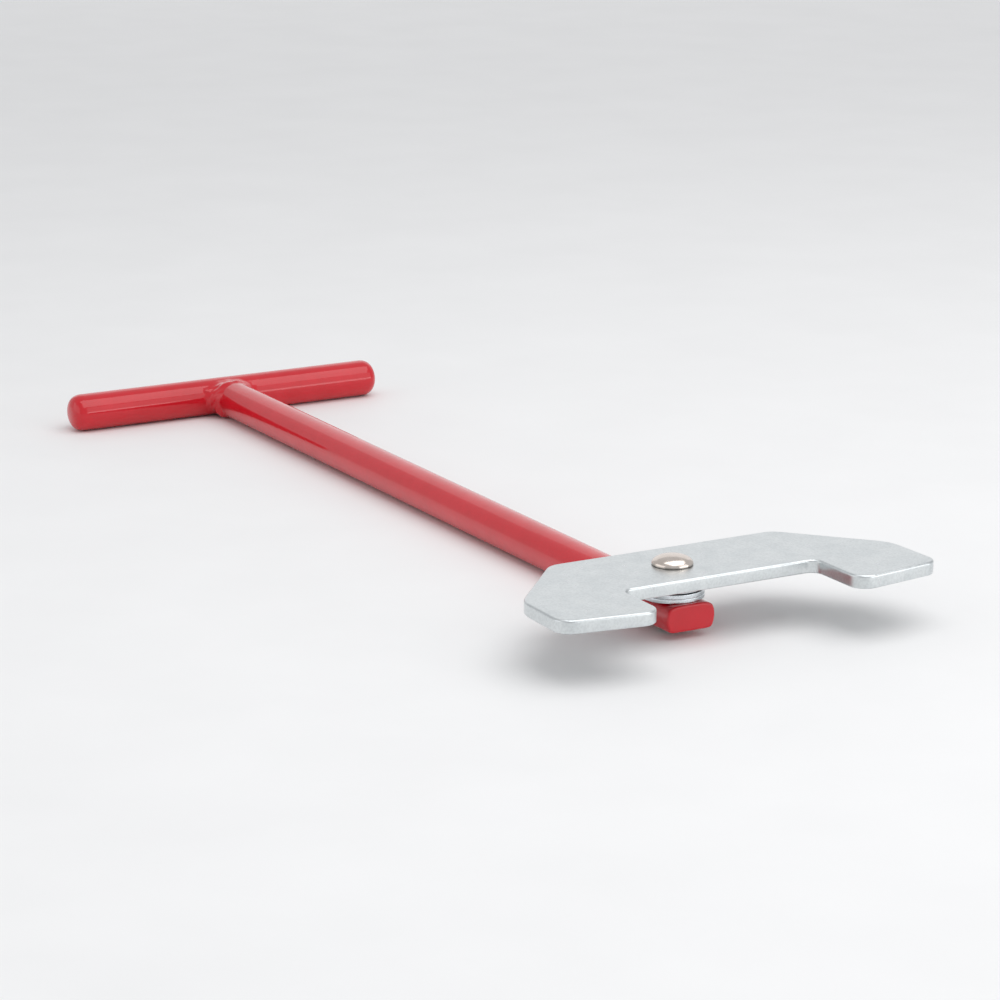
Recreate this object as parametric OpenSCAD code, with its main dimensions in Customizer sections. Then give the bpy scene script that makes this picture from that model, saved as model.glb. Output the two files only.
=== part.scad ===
// Basin wrench: a welded T-handle, and a plate with two fixed jaws that
// swivels on a rivet through the flattened end of the shaft.
// +X runs from the handle to the head and +Z is up. The origin is the middle
// of the bounding box, on the surface that the tool lies on.

/* [Handle] */
// Diameter of the round bar of the crossbar and the shaft
bar_d = 16; // [14:0.5:18]
// Length of the crossbar, over its domed ends
crossbar_len = 148; // [120:0.5:180]
// Depth of the crossbar's domed ends
dome_depth = 6.5; // [4:0.5:8]
// Squareness of the domed ends: 2 is an ellipse, more is fuller
dome_power = 2.6; // [2:0.1:4]
// Length from the back of the crossbar to the tip of the shaft
tool_len = 400; // [300:1:500]

/* [Flattened end] */
// Thickness of the flattened end
flat_t = 10; // [8:0.5:11]
// Width of the flattened end, across its bulging sides
flat_w = 20; // [19:0.5:24]
// Length of the flattened end, without the run-out into the round bar
flat_len = 27; // [26:1:40]
// Length of the run-out between the flattened end and the round bar
runout_len = 12; // [8:1:20]
// Radius of the tip's edges
tip_round = 0.9; // [0.5:0.1:2]
// Distance from the tip to the pivot
pivot_inset = 13.3; // [12:0.1:16]

/* [Weld] */
// Largest radius of the weld bead round the shaft's axis
bead_r = 12; // [11:0.5:13]
// How far the bead stands above the bars
bead_rise = 1.2; // [0.8:0.1:2]
// How far the bead's underside stays above the bars' undersides
bead_lift = 0.3; // [0.2:0.1:1]
// Length of the bead along the shaft, from the crossbar's front
bead_len = 6; // [5:0.5:8]
// Gap that the weld fills between the crossbar and the shaft's end
root_gap = 0.3; // [0.2:0.1:0.6]

/* [Washers] */
// Outer diameter of the flat washers
washer_d = 23.4; // [20:0.1:26]
// Thickness of each flat washer
washer_t = 1.6; // [1.4:0.1:2]
// Outer diameter of the disc spring
spring_d = 23; // [19:0.1:25]
// Thickness of the disc spring's sheet
spring_t = 1.3; // [1:0.1:1.4]
// Height of the disc spring as it is clamped
spring_h = 1.7; // [1.5:0.1:1.9]
// Hole through the washers and the disc spring
washer_hole_d = 8.4; // [8.2:0.1:9]

/* [Rivet] */
// Diameter of the rivet's shank
shank_d = 8; // [7:0.1:8.1]
// Diameter of the rivet's domed head
head_d = 15.1; // [13:0.1:18]
// Height of the head
head_h = 3.7; // [2.5:0.1:4.5]
// Height of the straight rim under the head's dome
head_rim = 0.4; // [0.2:0.1:0.6]
// Diameter of the peened tail
tail_d = 12; // [10:0.5:14]
// Height of the peened tail
tail_h = 2; // [1.5:0.1:2.5]

/* [Jaw plate] */
// Thickness of the plate
plate_t = 5; // [4:0.5:6]
// Distance between the jaws
jaw_gap = 81; // [60:1:90]
// Bridge behind the pivot, to the plate's back edge
bridge_back = 20.5; // [16:0.5:24]
// Bridge in front of the pivot, to the bottom of the notch
bridge_front = 19.2; // [16:0.1:24]
// Half the length of the plate's straight back edge
back_half = 47.3; // [40:0.1:55]
// Half the plate's width at the side corners
side_half = 77.5; // [72:0.1:85]
// Side corners, in front of the pivot
side_x = 13.4; // [8:0.1:18]
// Half the plate's width at the outer corners of the jaw tips
tip_half = 78.5; // [72:0.1:85]
// Outer corners of the jaw tips, in front of the pivot
tip_outer_x = 42.3; // [36:0.1:50]
// Inner corners of the jaw tips, in front of the pivot
tip_inner_x = 47.9; // [40:0.1:54]
// Sideways distance from the pivot to the plate's centre line
plate_offset = 8; // [0:0.5:10]

/* [Fits] */
// Clearance all round the shank in the plate
plate_fit = 0.08; // [0.02:0.01:0.1]
// Clearance all round the shank in the flattened end
shaft_fit = 0.05; // [0.02:0.01:0.1]
// Clearance above and below the plate
face_gap = 0.03; // [0.02:0.01:0.1]

/* [Hidden] */
$fn = 96;
bar_r = bar_d / 2;
arc_steps = 8;
over = 1;

// Places along X, with the crossbar's axis at 0
shaft_x0 = bar_r + root_gap;
tip_x = tool_len - bar_r;
pivot_x = tip_x - pivot_inset;
flat_x = tip_x - flat_len;
runout_x = flat_x - runout_len;

// Heights, with the bars' axes at 0
washer_z = flat_t / 2;
second_z = washer_z + washer_t;
spring_z = second_z + washer_t;
upper_z = spring_z + spring_h;
plate_z = upper_z + washer_t + face_gap;
head_z = plate_z + plate_t + face_gap;
tail_z = -flat_t / 2;

// Corner radii, the same on both halves of the plate
back_round = 9;
side_round = 15;
tip_outer_round = 6.5;
tip_inner_round = 6.5;
notch_round = 4;

// One half of the plate's outline as [x, y, corner radius], from the pivot
plate_half = [
    [-bridge_back, back_half, back_round],
    [side_x, side_half, side_round],
    [tip_outer_x, tip_half, tip_outer_round],
    [tip_inner_x, jaw_gap / 2, tip_inner_round],
    [bridge_front, jaw_gap / 2, notch_round]
];
plate_corners = concat(
    [for (i = [len(plate_half) - 1:-1:0]) plate_half[i]],
    [for (p = plate_half) [p[0], -p[1], p[2]]]
);
plate_outline = rounded(plate_corners);

// Middle of the bounding box
plate_y = [for (p = plate_outline) p[1] + plate_offset];
plate_x = [for (p = plate_outline) p[0] + pivot_x];
mid_x = (max(plate_x) - bar_r) / 2;
mid_y = (max(max(plate_y), crossbar_len / 2) + min(min(plate_y), -crossbar_len / 2)) / 2;

function xy(p) = [p[0], p[1]];
function unit(v) = v / norm(v);

// Points of an arc from angle a0 to angle a1
function arc(centre, r, a0, a1) =
    [
        for (i = [0:arc_steps])
            centre + r * [cos(a0 + (a1 - a0) * i / arc_steps), sin(a0 + (a1 - a0) * i / arc_steps)]
    ];

// The rounded corner at b, between its neighbours a and c
function corner(a, b, c, r) =
    let (
        to_a = unit(a - b),
        to_c = unit(c - b),
        half = acos(to_a * to_c) / 2,
        centre = b + unit(to_a + to_c) * r / sin(half),
        start = b + to_a * r / tan(half) - centre,
        stop = b + to_c * r / tan(half) - centre,
        a0 = atan2(start[1], start[0]),
        sweep = (atan2(stop[1], stop[0]) - a0 + 540) % 360 - 180
    )
    arc(centre, r, a0, a0 + sweep);

// A closed outline of [x, y, radius] corners, each one rounded
function rounded(corners) =
    let (n = len(corners))
    [for (i = [0:n - 1]) each corner(
        xy(corners[(i + n - 1) % n]), xy(corners[i]), xy(corners[(i + 1) % n]), corners[i][2])];

// Half of a domed bar end, from its rim (t = 0) to its middle (t = 1)
function dome(t, sign) = [
    bar_r * pow(cos(90 * t), 2 / dome_power),
    sign * (crossbar_len / 2 - dome_depth + dome_depth * pow(sin(90 * t), 2 / dome_power))
];

// A smooth step from 0 to 1
function ease(t) = (1 - cos(180 * t)) / 2;

// Moves the children from the handle's own axes to the part's frame
module placed() {
    translate([-mid_x, -mid_y, bar_r]) children();
}

// Turns a revolved solid's axis from Z to X
module along_x() {
    rotate([0, 90, 0]) children();
}

// The crossbar's round bar, without its domed ends
module crossbar_core() {
    rotate([90, 0, 0]) cylinder(r = bar_r, h = crossbar_len, center = true);
}

module crossbar() {
    steps = 2 * arc_steps;
    color("firebrick") placed()
        rotate([90, 0, 0])
            rotate_extrude()
                polygon(concat(
                    [[0, -crossbar_len / 2]],
                    [for (i = [steps - 1:-1:0]) dome(i / steps, -1)],
                    [for (i = [0:steps - 1]) dome(i / steps, 1)],
                    [[0, crossbar_len / 2]]
                ));
}

// The weld fills the wedge between the two bars and runs out on both of them
module weld_bead() {
    crown = bar_r + bead_rise;
    floor_z = bead_lift - bar_r;
    end_x = bar_r + bead_len;
    toe_x = bar_r / 3;
    color("firebrick") placed()
        difference() {
            intersection() {
                along_x()
                    rotate_extrude()
                        polygon([
                            [0, toe_x],
                            [bead_r, toe_x],
                            [bead_r, bar_r + 0.5],
                            [bead_r - 1.6, bar_r + 1.8],
                            [bar_r + 1, bar_r + 4],
                            [bar_r + 0.4, end_x],
                            [0, end_x]
                        ]);
                rotate([90, 0, 0])
                    linear_extrude(height = 2 * bead_r + over, center = true)
                        polygon([
                            [toe_x, bar_r],
                            [toe_x + 2, crown],
                            [end_x, crown],
                            [end_x, floor_z],
                            [toe_x, floor_z]
                        ]);
            }
            crossbar_core();
            along_x() translate([0, 0, shaft_x0]) cylinder(r = bar_r, h = tool_len);
        }
}

// The bar swells to the flattened end's width, and two flats cut it to thickness
module shaft() {
    flat_r = flat_w / 2;
    ramp_z = bar_r + 1;
    half_t = flat_t / 2;
    swell_x = runout_x + runout_len / 3;
    swell = [for (i = [0:arc_steps])
        [bar_r + (flat_r - bar_r) * ease(i / arc_steps), swell_x + (flat_x - swell_x) * i / arc_steps]];
    ramp = [for (i = [0:arc_steps])
        [runout_x + runout_len * i / arc_steps, ramp_z + (half_t - ramp_z) * ease(i / arc_steps)]];
    tip = arc([tip_x - tip_round, half_t - tip_round], tip_round, 90, 0);
    upper = concat([[0, ramp_z]], ramp, tip);
    lower = [for (i = [len(upper) - 1:-1:0]) [upper[i][0], -upper[i][1]]];
    color("firebrick") placed()
        difference() {
            intersection() {
                along_x()
                    rotate_extrude()
                        polygon(concat(
                            [[0, shaft_x0], [bar_r, shaft_x0]],
                            swell,
                            arc([flat_r - tip_round, tip_x - tip_round], tip_round, 0, 90),
                            [[0, tip_x]]
                        ));
                rotate([90, 0, 0])
                    linear_extrude(height = flat_w + 2 * over, center = true)
                        polygon(concat(upper, lower));
            }
            translate([pivot_x, 0, -bar_r])
                cylinder(d = shank_d + 2 * shaft_fit, h = bar_d);
        }
}

// Domed head, shank and peened tail, turned in one piece
module pivot_rivet() {
    head_r = head_d / 2;
    tail_r = tail_d / 2;
    dome_h = head_h - head_rim;
    dome_z = head_z + head_rim;
    steps = 2 * arc_steps;
    tail_rim = tail_h / 2;
    color("silver") placed()
        translate([pivot_x, 0, 0])
            rotate_extrude()
                polygon(concat(
                    [[0, tail_z - tail_h], [tail_r - tail_rim, tail_z - tail_h]],
                    [[tail_r, tail_z - tail_rim], [tail_r, tail_z]],
                    [[shank_d / 2, tail_z], [shank_d / 2, head_z]],
                    [[head_r, head_z]],
                    [
                        for (i = [0:steps - 1])
                            [head_r * cos(90 * i / steps), dome_z + dome_h * sin(90 * i / steps)]
                    ],
                    [[0, dome_z + dome_h]]
                ));
}

// A flat washer standing on height z
module flat_washer(z) {
    translate([pivot_x, 0, z])
        difference() {
            cylinder(d = washer_d, h = washer_t);
            translate([0, 0, -over]) cylinder(d = washer_hole_d, h = washer_t + 2 * over);
        }
}

module lower_flat_washer() {
    color("gainsboro") placed() flat_washer(washer_z);
}

module second_flat_washer() {
    color("lightgray") placed() flat_washer(second_z);
}

module upper_flat_washer() {
    color("gainsboro") placed() flat_washer(upper_z);
}

// A shallow cone of sheet, its wide end up against the upper washer
module disc_spring() {
    color("darkgray") placed()
        translate([pivot_x, 0, spring_z])
            rotate_extrude()
                polygon([
                    [washer_hole_d / 2, 0],
                    [spring_d / 2, spring_h - spring_t],
                    [spring_d / 2, spring_h],
                    [washer_hole_d / 2, spring_t]
                ]);
}

module jaw_plate() {
    color("lightsteelblue") placed()
        translate([pivot_x, 0, plate_z])
            difference() {
                translate([0, plate_offset, 0])
                    linear_extrude(height = plate_t) polygon(plate_outline);
                translate([0, 0, -over])
                    cylinder(d = shank_d + 2 * plate_fit, h = plate_t + 2 * over);
            }
}

crossbar();
weld_bead();
shaft();
pivot_rivet();
lower_flat_washer();
second_flat_washer();
disc_spring();
upper_flat_washer();
jaw_plate();
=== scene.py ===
import math

import bmesh
import bpy
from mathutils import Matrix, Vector


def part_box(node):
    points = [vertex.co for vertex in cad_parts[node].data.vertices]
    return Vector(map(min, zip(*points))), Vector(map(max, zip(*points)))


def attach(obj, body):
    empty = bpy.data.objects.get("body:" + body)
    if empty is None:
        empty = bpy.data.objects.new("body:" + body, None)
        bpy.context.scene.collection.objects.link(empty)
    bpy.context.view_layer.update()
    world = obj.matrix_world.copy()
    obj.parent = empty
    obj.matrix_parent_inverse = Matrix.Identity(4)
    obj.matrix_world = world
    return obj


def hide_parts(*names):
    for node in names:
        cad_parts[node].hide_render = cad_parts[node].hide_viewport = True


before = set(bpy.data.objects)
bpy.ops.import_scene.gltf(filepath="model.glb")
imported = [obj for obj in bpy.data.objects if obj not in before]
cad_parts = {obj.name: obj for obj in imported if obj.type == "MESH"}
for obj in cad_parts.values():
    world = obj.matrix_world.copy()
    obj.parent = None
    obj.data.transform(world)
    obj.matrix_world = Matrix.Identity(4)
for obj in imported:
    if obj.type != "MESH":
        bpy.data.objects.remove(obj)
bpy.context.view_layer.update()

MM = 0.001
TAU = 2 * math.pi

# The frame's own places, in metres
bar_lo, bar_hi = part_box("crossbar")
shaft_lo, shaft_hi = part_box("shaft")
rivet_lo, rivet_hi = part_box("pivot_rivet")
plate_lo, plate_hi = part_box("jaw_plate")
bar_mid = (bar_lo + bar_hi) / 2
bar_r = (bar_hi.z - bar_lo.z) / 2
pivot = (rivet_lo + rivet_hi) / 2
shaft_y = (shaft_lo.y + shaft_hi.y) / 2

# Sizes at the pivot that the frame's boxes don't show
TIP_HALF = 5 * MM
SHANK_R = 4 * MM
PLATE_HOLE_R = SHANK_R + 0.08 * MM
WASHER_HOLE_R = SHANK_R + 0.2 * MM


# ---------------------------------------------------------------- mesh helpers

def arc(centre_a, centre_b, radius, start, stop, steps):
    """Points of an arc in a plane, from angle start to angle stop in degrees."""
    points = []
    for i in range(steps + 1):
        angle = math.radians(start + (stop - start) * i / steps)
        points.append((centre_a + radius * math.cos(angle), centre_b + radius * math.sin(angle)))
    return points


def ease(t):
    """A smooth step from 0 to 1."""
    t = min(max(t, 0.0), 1.0)
    return (1 - math.cos(math.pi * t)) / 2


def placed(mesh, body, node, material):
    """Puts a mesh in the scene: it rides on a body and stands for a CAD node."""
    obj = bpy.data.objects.new(mesh.name, mesh)
    bpy.context.scene.collection.objects.link(obj)
    obj.data.materials.append(material)
    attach(obj, body)
    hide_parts(node)


def piece(name, verts, faces, node, material):
    """A smooth-shaded piece of the handle, made from vertices and faces."""
    mesh = bpy.data.meshes.new(name)
    mesh.from_pydata([tuple(v) for v in verts], [], faces)
    mesh.validate()
    mesh.polygons.foreach_set("use_smooth", [True] * len(mesh.polygons))
    placed(mesh, "handle", node, material)


def loft(rings, closed=False):
    """Vertices and faces of a tube through rings of points; one-point rings close its ends."""
    verts = []
    starts = []
    for ring in rings:
        starts.append(len(verts))
        verts.extend(ring)
    faces = []
    pairs = list(zip(range(len(rings) - 1), range(1, len(rings))))
    if closed:
        pairs.append((len(rings) - 1, 0))
    for a, b in pairs:
        count = max(len(rings[a]), len(rings[b]))
        for i in range(count):
            j = (i + 1) % count
            a_i, a_j = (starts[a] + k % len(rings[a]) for k in (i, j))
            b_i, b_j = (starts[b] + k % len(rings[b]) for k in (i, j))
            face = [a_i, a_j, b_j, b_i]
            faces.append([v for k, v in enumerate(face) if v not in face[:k]])
    return verts, faces


def revolved(profile, origin, axis, segments=128, closed=False):
    """Rings of a turned shape: profile holds (radius, height along the axis) points."""
    axis = Vector(axis)
    side = axis.orthogonal().normalized()
    other = axis.cross(side)
    rings = []
    for radius, height in profile:
        middle = Vector(origin) + axis * height
        if radius == 0:
            rings.append([middle])
            continue
        angles = [TAU * i / segments for i in range(segments)]
        rings.append([middle + (side * math.cos(a) + other * math.sin(a)) * radius for a in angles])
    return loft(rings, closed)


# ---------------------------------------------------------------- materials

def shader(name):
    """A new node material: its tree and its Principled shader."""
    material = bpy.data.materials.new(name)
    material.use_nodes = True
    tree = material.node_tree
    return material, tree, tree.nodes["Principled BSDF"]


def noise(tree, size, detail=4.0):
    """A noise pattern with features of about size metres, in the part's own frame."""
    coords = tree.nodes.new("ShaderNodeTexCoord")
    pattern = tree.nodes.new("ShaderNodeTexNoise")
    pattern.inputs["Scale"].default_value = 1 / size
    pattern.inputs["Detail"].default_value = detail
    tree.links.new(coords.outputs["Object"], pattern.inputs["Vector"])
    return pattern.outputs["Fac"]


def ramp(tree, value, low, high, start=0.3, stop=0.7):
    """Maps a pattern onto two colours, or two greys given as numbers."""
    node = tree.nodes.new("ShaderNodeValToRGB")
    for stop_node, place, colour in zip(node.color_ramp.elements, (start, stop), (low, high)):
        stop_node.position = place
        stop_node.color = (colour, colour, colour, 1) if isinstance(colour, float) else (*colour, 1)
    tree.links.new(value, node.inputs["Fac"])
    return node.outputs["Color"]


def mixed(tree, factor, a, b, mode="MIX"):
    """Mixes two colours, each a socket or a colour, by a factor that is a socket or a number."""
    node = tree.nodes.new("ShaderNodeMix")
    node.data_type = "RGBA"
    node.blend_type = mode
    for socket, value in ((node.inputs["Factor"], factor), (node.inputs["A"], a), (node.inputs["B"], b)):
        put(tree, socket, value)
    return node.outputs["Result"]


def put(tree, socket, value):
    """Links a socket into another, or sets its constant."""
    if isinstance(value, bpy.types.NodeSocket):
        tree.links.new(value, socket)
    elif isinstance(value, tuple) and len(value) == 3:
        socket.default_value = (*value, 1)
    else:
        socket.default_value = value


def bumped(tree, bsdf, layers):
    """Stacks bump layers of (pattern, depth in metres, strength) under the shader."""
    previous = None
    for pattern, depth, strength in layers:
        bump = tree.nodes.new("ShaderNodeBump")
        bump.inputs["Distance"].default_value = depth
        bump.inputs["Strength"].default_value = strength
        tree.links.new(pattern, bump.inputs["Height"])
        if previous:
            tree.links.new(previous, bump.inputs["Normal"])
        previous = bump.outputs["Normal"]
    tree.links.new(previous, bsdf.inputs["Normal"])


def edge_mask(tree, radius):
    """White on edges and corners, where a bevelled normal leans away from the true one."""
    sharp_edge = 0.86
    no_edge = 0.99
    bevel = tree.nodes.new("ShaderNodeBevel")
    bevel.samples = 8
    bevel.inputs["Radius"].default_value = radius
    geometry = tree.nodes.new("ShaderNodeNewGeometry")
    dot = tree.nodes.new("ShaderNodeVectorMath")
    dot.operation = "DOT_PRODUCT"
    tree.links.new(bevel.outputs["Normal"], dot.inputs[0])
    tree.links.new(geometry.outputs["Normal"], dot.inputs[1])
    return ramp(tree, dot.outputs["Value"], 1.0, 0.0, sharp_edge, no_edge)


def painted_crevice_shade(tree, reach, darkest):
    """Painted shade: a grey that falls to darkest where another surface is within reach metres."""
    closed_in = 0.35
    open_sky = 0.85
    near = tree.nodes.new("ShaderNodeAmbientOcclusion")
    near.samples = 8
    near.inputs["Distance"].default_value = reach
    return ramp(tree, near.outputs["AO"], darkest, 1.0, closed_in, open_sky)


def red_coat():
    """Glossy red powder coat with a faint orange peel, a little lighter where it thins on edges."""
    material, tree, bsdf = shader("red_coat")
    tone = ramp(tree, noise(tree, 14 * MM), (0.54, 0.004, 0.012), (0.60, 0.006, 0.017))
    fine = ramp(tree, noise(tree, 1.6 * MM), 0.95, 1.0)
    tone = mixed(tree, 1.0, tone, fine, "MULTIPLY")
    put(tree, bsdf.inputs["Base Color"], mixed(tree, edge_mask(tree, 0.7 * MM), tone, (0.70, 0.02, 0.03)))
    put(tree, bsdf.inputs["Roughness"], ramp(tree, noise(tree, 6 * MM), 0.30, 0.40))
    bsdf.inputs["Specular IOR Level"].default_value = 0.1
    bsdf.inputs["Coat Weight"].default_value = 1.0
    bsdf.inputs["Coat Roughness"].default_value = 0.04
    bumped(tree, bsdf, [
        (noise(tree, 7 * MM, 1.0), 0.04 * MM, 0.25),
        (noise(tree, 1.4 * MM, 1.0), 0.004 * MM, 0.25),
    ])
    return material


def zinc(name, tones, edge_wear_and_highlight_tone, roughness):
    """Pale zinc plating: cloudy tone, satin sheen, faint pits and brighter edges, partly rubbed wear and
    partly a painted highlight.
    """
    material, tree, bsdf = shader(name)
    bsdf.inputs["Metallic"].default_value = 1.0
    cloud = ramp(tree, noise(tree, 7 * MM, 6.0), *tones)
    speck = ramp(tree, noise(tree, 0.9 * MM, 3.0), 0.90, 1.0, 0.35, 0.6)
    tone = mixed(tree, 1.0, cloud, speck, "MULTIPLY")
    # lighter edges: partly rubbed wear, partly a painted highlight
    put(tree, bsdf.inputs["Base Color"], mixed(tree, edge_mask(tree, 0.8 * MM), tone, edge_wear_and_highlight_tone))
    put(tree, bsdf.inputs["Roughness"], ramp(tree, noise(tree, 4 * MM, 5.0), *roughness))
    bumped(tree, bsdf, [
        (noise(tree, 11 * MM, 3.0), 0.05 * MM, 0.3),
        (noise(tree, 0.7 * MM, 4.0), 0.012 * MM, 0.5),
    ])
    return material


def plate_zinc():
    """The plate's plating, a little worn, its edges lighter partly by a painted highlight."""
    return zinc("zinc_plate", ((0.64, 0.675, 0.685), (0.71, 0.74, 0.745)), (0.84, 0.87, 0.88), (0.27, 0.35))


def washer_zinc():
    """The flat washers' plating, brighter than the plate's."""
    return zinc("zinc_washer", ((0.66, 0.70, 0.73), (0.75, 0.79, 0.82)), (0.84, 0.88, 0.90), (0.20, 0.32))


def spring_steel():
    """The disc spring's plating, darker than the washers'."""
    return zinc("spring_steel", ((0.54, 0.58, 0.61), (0.64, 0.68, 0.71)), (0.76, 0.80, 0.83), (0.25, 0.38))


def rivet_steel():
    """Bright nickel-plated steel with a warm cast and fine handling marks, darkened by painted shade where
    other surfaces come near.
    """
    material, tree, bsdf = shader("rivet_steel")
    bsdf.inputs["Metallic"].default_value = 1.0
    tone = ramp(tree, noise(tree, 3 * MM, 5.0), (0.68, 0.60, 0.54), (0.76, 0.68, 0.62))
    tone = mixed(tree, edge_mask(tree, 0.3 * MM), tone, (0.82, 0.77, 0.72))
    # painted shade: the steel darkens where the plate and the shank come close
    tone = mixed(tree, 1.0, tone, painted_crevice_shade(tree, 1.6 * MM, 0.22), "MULTIPLY")
    put(tree, bsdf.inputs["Base Color"], tone)
    put(tree, bsdf.inputs["Roughness"], ramp(tree, noise(tree, 1.2 * MM, 5.0), 0.14, 0.24))
    bumped(tree, bsdf, [(noise(tree, 1.5 * MM, 4.0), 0.02 * MM, 0.3)])
    return material


def floor_white():
    """Matt white studio floor with a barely visible grain."""
    material, tree, bsdf = shader("floor_white")
    put(tree, bsdf.inputs["Base Color"], ramp(tree, noise(tree, 60 * MM), 0.83, 0.85))
    bsdf.inputs["Roughness"].default_value = 0.7
    bsdf.inputs["Specular IOR Level"].default_value = 0.2
    bumped(tree, bsdf, [(noise(tree, 2 * MM), 0.02 * MM, 0.2)])
    return material


# ---------------------------------------------------------------- handle

def make_crossbar(material):
    """The round bar, its ends domed fuller than an ellipse."""
    half = (bar_hi.y - bar_lo.y) / 2
    dome_depth = 6.5 * MM
    dome_power = 2.6
    dome_steps = 40
    straight_steps = 60
    straight = half - dome_depth

    dome = []
    for i in range(dome_steps):
        angle = math.pi / 2 * i / dome_steps
        radius = bar_r * math.cos(angle) ** (2 / dome_power)
        dome.append((radius, straight + dome_depth * math.sin(angle) ** (2 / dome_power)))
    profile = [(0, -half)] + [(r, -h) for r, h in reversed(dome)]
    profile += [(bar_r, straight * (2 * i / straight_steps - 1)) for i in range(1, straight_steps)]
    profile += dome + [(0, half)]
    verts, faces = revolved(profile, bar_mid, (0, 1, 0))
    piece("t_handle_bar", verts, faces, "crossbar", material)


def make_shaft(material):
    """The round shaft, thinning and widening into its pressed end.

    A cross-section is a circle between two flats, softened where they meet. The flats start well
    clear of the circle and close in on it along the run-out.
    """
    tip_round = 0.9 * MM
    flat_len = 27 * MM
    runout = 12 * MM
    flat_r = (shaft_hi.y - shaft_lo.y) / 2
    far_half = 3 * bar_r
    upper_sharpness = 6
    lower_sharpness = 14
    segments = 160
    round_steps = 80
    runout_steps = 24
    flat_steps = 12
    edge_steps = 8
    cap_shares = (0.97, 0.6)
    flat_x = shaft_hi.x - flat_len
    runout_x = flat_x - runout

    def section(x, inset=0.0):
        t = (x - runout_x) / runout
        radius = bar_r + (flat_r - bar_r) * ease(2 * t - 1) - inset
        half = 1 / (1 / far_half + (1 / TIP_HALF - 1 / far_half) * ease(t)) - inset
        ring = []
        for i in range(segments):
            angle = TAU * i / segments
            slope = abs(math.sin(angle)) / half
            sharpness = upper_sharpness if i < segments / 2 else lower_sharpness
            reach = (radius ** -sharpness + slope ** sharpness) ** (-1 / sharpness)
            ring.append(Vector((x, shaft_y + reach * math.cos(angle), bar_mid.z + reach * math.sin(angle))))
        return ring

    def shrunk(ring, share):
        middle = Vector((ring[0].x, shaft_y, bar_mid.z))
        return [middle + (p - middle) * share for p in ring]

    xs = [shaft_lo.x + (runout_x - shaft_lo.x) * i / round_steps for i in range(round_steps)]
    xs += [runout_x + runout * i / runout_steps for i in range(runout_steps)]
    xs += [flat_x + (flat_len - tip_round) * i / flat_steps for i in range(flat_steps)]
    rings = [[Vector((shaft_lo.x, shaft_y, bar_mid.z))]]
    rings += [section(x) for x in xs]
    for x, inset in arc(shaft_hi.x - tip_round, tip_round, tip_round, -90, 0, edge_steps):
        rings.append(section(x, inset))
    rings += [shrunk(rings[-1], share) for share in cap_shares]
    rings.append([Vector((shaft_hi.x, shaft_y, bar_mid.z))])
    verts, faces = loft(rings)
    piece("handle_shaft", verts, faces, "shaft", material)


def make_weld(material):
    """A hand-laid bead round the joint: a fillet off the crossbar up to a ridge round the shaft."""
    around = 240
    across = 28
    # How far the bead reaches along the crossbar, round it, and out along the shaft
    toe_side = 14.5 * MM
    toe_turn = math.radians(80)
    run = 6.0 * MM
    # How strongly the curve across the bead hugs both bars, and how far it bulges
    pull = 0.5
    crown = 1.2 * MM
    ridge_power = 1.7
    ripple_height = 0.24 * MM
    drop_height = 0.8 * MM
    drop_angle = 2.62
    drop_place = 0.14
    # The bead stays off the floor, and its ends sink just under the bars' surface
    floor_z = -bar_r + 0.05 * MM
    shell = bar_r - 0.06 * MM

    def sway(angle, amount, waves, phase):
        """A factor that wanders by amount on either side of 1."""
        return 1 + amount * math.sin(waves * angle + phase)

    def swell(angle):
        """How much fuller or flatter the crown is here."""
        slow = math.sin(2 * angle + 0.8) + 0.7 * math.sin(3 * angle + 2.1)
        quick = math.sin(7 * angle + 1.3 * math.sin(3 * angle))
        return 0.22 * slow + 0.20 * quick

    def ripple(angle, t):
        """The height of the bead's ripples, and of one drop at its toe."""
        along = math.sin(9 * angle + 5 * t) * math.sin(13 * t + 4 * math.sin(2 * angle))
        drop = math.exp(-((angle - drop_angle) / 0.09) ** 2 - ((t - drop_place) / 0.10) ** 2)
        return ripple_height * along * math.sin(math.pi * t) + drop_height * drop

    def strand(angle):
        """Points across the bead, from its toe on the crossbar to its end on the shaft."""
        side = toe_side * sway(angle, 0.05, 3, 0.4) * math.cos(angle)
        turn = toe_turn * sway(angle, 0.04, 2, 1.0) * math.sin(angle)
        start = Vector((shell * math.cos(turn), side, shell * math.sin(turn)))
        round_way = Vector((-math.sin(turn), 0, math.cos(turn)))
        into = -(Vector((0, 1, 0)) * math.cos(angle) + round_way * math.sin(angle)).normalized()
        end_x = bar_r + run * sway(angle, 0.06, 5, 0.7)
        stop = Vector((end_x, shell * math.cos(angle), shell * math.sin(angle)))
        length = (stop - start).length
        first = start + into * length * pull
        second = stop + Vector((-1, 0, 0)) * length * pull
        outward = Vector((0.45, math.cos(angle), math.sin(angle))).normalized()
        points = []
        for k in range(across + 1):
            t = k / across
            point = start * (1 - t) ** 3 + first * 3 * t * (1 - t) ** 2
            point += second * 3 * t * t * (1 - t) + stop * t ** 3
            point += outward * crown * (1 + swell(angle)) * math.sin(math.pi * t ** ridge_power) ** 1.5
            point += outward * ripple(angle, t)
            point.z = max(point.z, floor_z)
            points.append(point + bar_mid)
        return points

    strands = [strand(TAU * i / around) for i in range(around)]
    verts, faces = loft(list(zip(*strands)))
    piece("t_joint_weld", verts, faces, "weld_bead", material)


# ---------------------------------------------------------------- pivot

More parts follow.
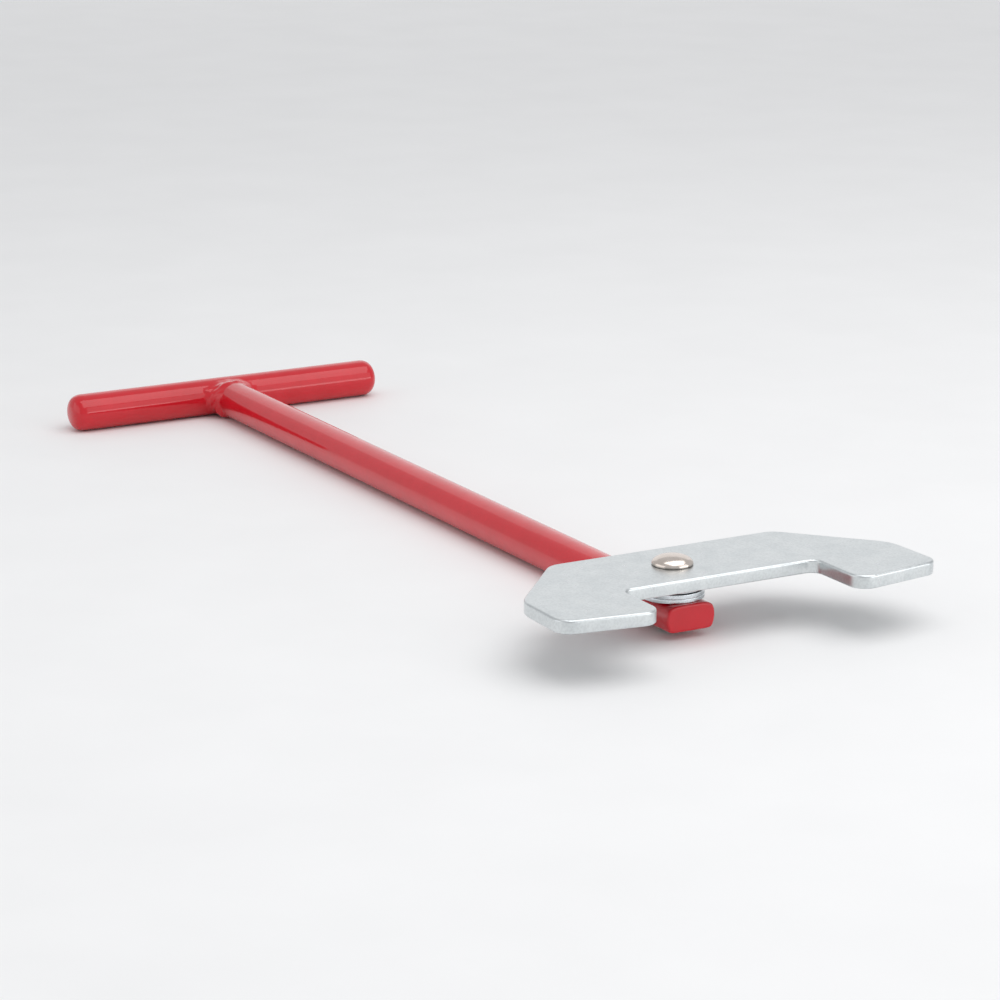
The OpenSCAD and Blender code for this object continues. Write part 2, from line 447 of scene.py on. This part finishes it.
def make_rivet(material):
    """The rivet: a turned dome, a straight shank and a hammered tail."""
    head_z = plate_hi.z + 0.02 * MM
    head_r = (rivet_hi.x - rivet_lo.x) / 2
    rim = 0.45 * MM
    lip = 0.18 * MM
    dome = rivet_hi.z - head_z - rim
    dome_steps = 32
    tail_r = 6 * MM
    tail_z = bar_mid.z - TIP_HALF
    tail_taper = 0.2 * MM
    tail_edge = 1 * MM

    profile = [(0, rivet_hi.z)]
    for i in range(1, dome_steps + 1):
        angle = math.pi / 2 * i / dome_steps
        profile.append((head_r * math.sin(angle), head_z + rim + dome * math.cos(angle)))
    profile += arc(head_r - lip, head_z + lip, lip, 0, -90, 5)
    profile += [(SHANK_R, head_z), (SHANK_R, tail_z), (tail_r - tail_taper, tail_z)]
    profile += arc(tail_r - tail_edge, rivet_lo.z + tail_edge, tail_edge, 0, -90, 8)
    profile += [(tail_r / 2, rivet_lo.z), (0, rivet_lo.z)]
    verts, faces = revolved(profile, (pivot.x, pivot.y, 0), (0, 0, 1))
    # The profile runs downwards, so its faces are turned to look outwards
    outward = [list(reversed(face)) for face in faces]
    piece("domed_rivet", verts, outward, "pivot_rivet", material)


def make_ring(name, node, material, sheet, edge, steps):
    """A ring of sheet in its CAD place, its edges rounded, coned by the height the sheet leaves free."""
    low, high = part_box(node)
    inner = WASHER_HOLE_R
    outer = (high.x - low.x) / 2
    flat = 0.2 * MM
    slope = (high.z - low.z - sheet) / (outer - inner)
    profile = arc(inner + edge, edge, edge, 180, 270, steps)
    profile += [(inner + edge + flat, 0), (outer - edge - flat, 0)]
    profile += arc(outer - edge, edge, edge, -90, 0, steps)
    profile += arc(outer - edge, sheet - edge, edge, 0, 90, steps)
    profile += [(outer - edge - flat, sheet), (inner + edge + flat, sheet)]
    profile += arc(inner + edge, sheet - edge, edge, 90, 180, steps)
    profile = [(r, h + (r - inner) * slope) for r, h in profile]
    verts, faces = revolved(profile, (pivot.x, pivot.y, low.z), (0, 0, 1), closed=True)
    piece(name, verts, faces, node, material)


def make_washer(name, node, material):
    """A flat washer."""
    low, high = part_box(node)
    make_ring(name, node, material, high.z - low.z, 0.22 * MM, 5)


def make_disc_spring(material):
    """A shallow cone of spring sheet, wide end up."""
    make_ring("disc_spring_washer", "disc_spring", material, 1.3 * MM, 0.15 * MM, 4)


# ---------------------------------------------------------------- head

# One half of the plate's outline in mm: x from the pivot, distance from the centre line, corner radius
PLATE_HALF = [
    (-20.5, 47.3, 9),
    (13.4, 77.5, 15),
    (42.3, 78.5, 6.5),
    (47.9, 40.5, 6.5),
    (19.2, 40.5, 4),
]

# How far the plate's centre line lies to the side of the pivot
PLATE_OFFSET = 8 * MM


def rounded_outline(corners, steps):
    """A closed outline whose corners (x, y, radius) are arcs, as (point, outward normal) pairs."""
    outline = []
    count = len(corners)
    for i, (x, y, radius) in enumerate(corners):
        here = Vector((x, y))
        before = Vector(corners[i - 1][:2]) - here
        after = Vector(corners[(i + 1) % count][:2]) - here
        before.normalize()
        after.normalize()
        half = before.angle(after) / 2
        middle = here + (before + after).normalized() * radius / math.sin(half)
        start = here + before * radius / math.tan(half) - middle
        stop = here + after * radius / math.tan(half) - middle
        first = math.atan2(start.y, start.x)
        sweep = (math.atan2(stop.y, stop.x) - first + 3 * math.pi) % TAU - math.pi
        for k in range(steps + 1):
            angle = first + sweep * k / steps
            away = Vector((math.cos(angle), math.sin(angle)))
            turn = 1 if sweep > 0 else -1
            outline.append((middle + away * radius, away * turn))
    return outline


def make_plate(material):
    """The flat plate with its two jaws, its sheared edges rounded over, drilled for the rivet."""
    top_edge = 0.9 * MM
    bottom_edge = 0.5 * MM
    edge_steps = 7
    corner_steps = 12
    hole_points = 64
    near_half = [(x, -y, r) for x, y, r in PLATE_HALF]
    corners = near_half + [(x, y, r) for x, y, r in reversed(PLATE_HALF)]
    centre = Vector((pivot.x, pivot.y + PLATE_OFFSET))
    outline = [(centre + p * MM, n) for p, n in rounded_outline(corners, corner_steps)]
    mesh = bmesh.new()

    def rim(inset, z):
        return [mesh.verts.new((p.x - n.x * inset, p.y - n.y * inset, z)) for p, n in outline]

    def hole(z):
        circle = arc(pivot.x, pivot.y, PLATE_HOLE_R, 0, 360, hole_points)
        return [mesh.verts.new((x, y, z)) for x, y in circle[:-1]]

    def wall(low, high):
        for i in range(len(low)):
            j = (i + 1) % len(low)
            mesh.faces.new((low[i], low[j], high[j], high[i])).smooth = True

    def sheet_side(outer, inner, up):
        loops = [(loop, i) for loop in (outer, inner) for i in range(len(loop))]
        edges = [mesh.edges.get((loop[i], loop[(i + 1) % len(loop)])) for loop, i in loops]
        made = bmesh.ops.triangle_fill(mesh, use_beauty=True, use_dissolve=False, edges=edges)
        for item in made["geom"]:
            if isinstance(item, bmesh.types.BMFace):
                item.smooth = False
                if item.normal.z * up < 0:
                    item.normal_flip()

    levels = arc(bottom_edge, plate_lo.z + bottom_edge, bottom_edge, 270, 180, edge_steps)
    levels += arc(top_edge, plate_hi.z - top_edge, top_edge, 180, 90, edge_steps)
    rims = [rim(inset, z) for inset, z in levels]
    for low, high in zip(rims, rims[1:]):
        wall(low, high)
    bottom_hole = hole(plate_lo.z)
    top_hole = hole(plate_hi.z)
    wall(top_hole, bottom_hole)
    sheet_side(rims[0], bottom_hole, -1)
    sheet_side(rims[-1], top_hole, 1)

    mesh.normal_update()
    data = bpy.data.meshes.new("swivel_jaw_plate")
    mesh.to_mesh(data)
    mesh.free()
    placed(data, "head", "jaw_plate", material)


# ---------------------------------------------------------------- scene

def make_floor(material):
    """A wide floor plane, just under the tool."""
    gap = 0.02 * MM
    bpy.ops.mesh.primitive_plane_add(size=8, location=(0, 0, -gap))
    floor = bpy.context.object
    floor.name = "studio_floor"
    floor.data.materials.append(material)


def make_camera():
    """The view from in front of the head and to the right, 15 degrees above the floor."""
    aim = bar_mid + Vector((0.2180, 0.0192, 0))
    distance = 1.4557
    heading = math.radians(150.83)
    down = math.radians(15.03)
    look = Vector((math.cos(down) * math.cos(heading), math.cos(down) * math.sin(heading), -math.sin(down)))
    data = bpy.data.cameras.new("camera")
    data.lens = 131.73
    data.sensor_width = 36
    data.clip_end = 50
    camera = bpy.data.objects.new("camera", data)
    camera.location = aim - look * distance
    camera.rotation_euler = look.to_track_quat("-Z", "Y").to_euler()
    bpy.context.scene.collection.objects.link(camera)
    bpy.context.scene.camera = camera


def softbox(name, location, target, width, height, power):
    """A rectangular area light that faces a target."""
    data = bpy.data.lights.new(name, "AREA")
    data.shape = "RECTANGLE"
    data.size = width
    data.size_y = height
    data.energy = power
    light = bpy.data.objects.new(name, data)
    light.location = location
    direction = Vector(target) - Vector(location)
    light.rotation_euler = direction.to_track_quat("-Z", "Y").to_euler()
    bpy.context.scene.collection.objects.link(light)


def make_lights():
    """Panels overhead, behind, on the left and in front, with a low strip, in a pale room."""
    softbox("overhead", (0.45, 0.25, 1.15), (0.45, 0.25, 0), 1.3, 1.4, 8.5)
    softbox("back_panel", (-1.70, 0.95, 0.75), (0.1, 0, 0.2), 2.6, 1.4, 4.2)
    softbox("left_panel", (-0.3, -1.6, 0.5), (0, 0, 0.1), 2.0, 1.0, 4)
    softbox("front_strip", (1.30, 0.85, 0.16), (0, 0.1, 0.16), 1.5, 0.26, 3)
    softbox("front_panel", (1.35, 0.90, 0.75), (0, 0.1, 0.3), 1.5, 0.9, 3)
    world = bpy.data.worlds.new("room")
    world.use_nodes = True
    background = world.node_tree.nodes["Background"]
    background.inputs["Color"].default_value = (0.97, 0.98, 1.0, 1)
    background.inputs["Strength"].default_value = 0.62
    bpy.context.scene.world = world
    bpy.context.scene.view_settings.view_transform = "Standard"


coat = red_coat()
plating = washer_zinc()

make_camera()
make_crossbar(coat)
make_shaft(coat)
make_weld(coat)
make_rivet(rivet_steel())
make_washer("washer_on_shaft", "lower_flat_washer", plating)
make_washer("washer_second", "second_flat_washer", plating)
make_disc_spring(spring_steel())
make_washer("washer_under_plate", "upper_flat_washer", plating)
make_plate(plate_zinc())
make_floor(floor_white())
make_lights()
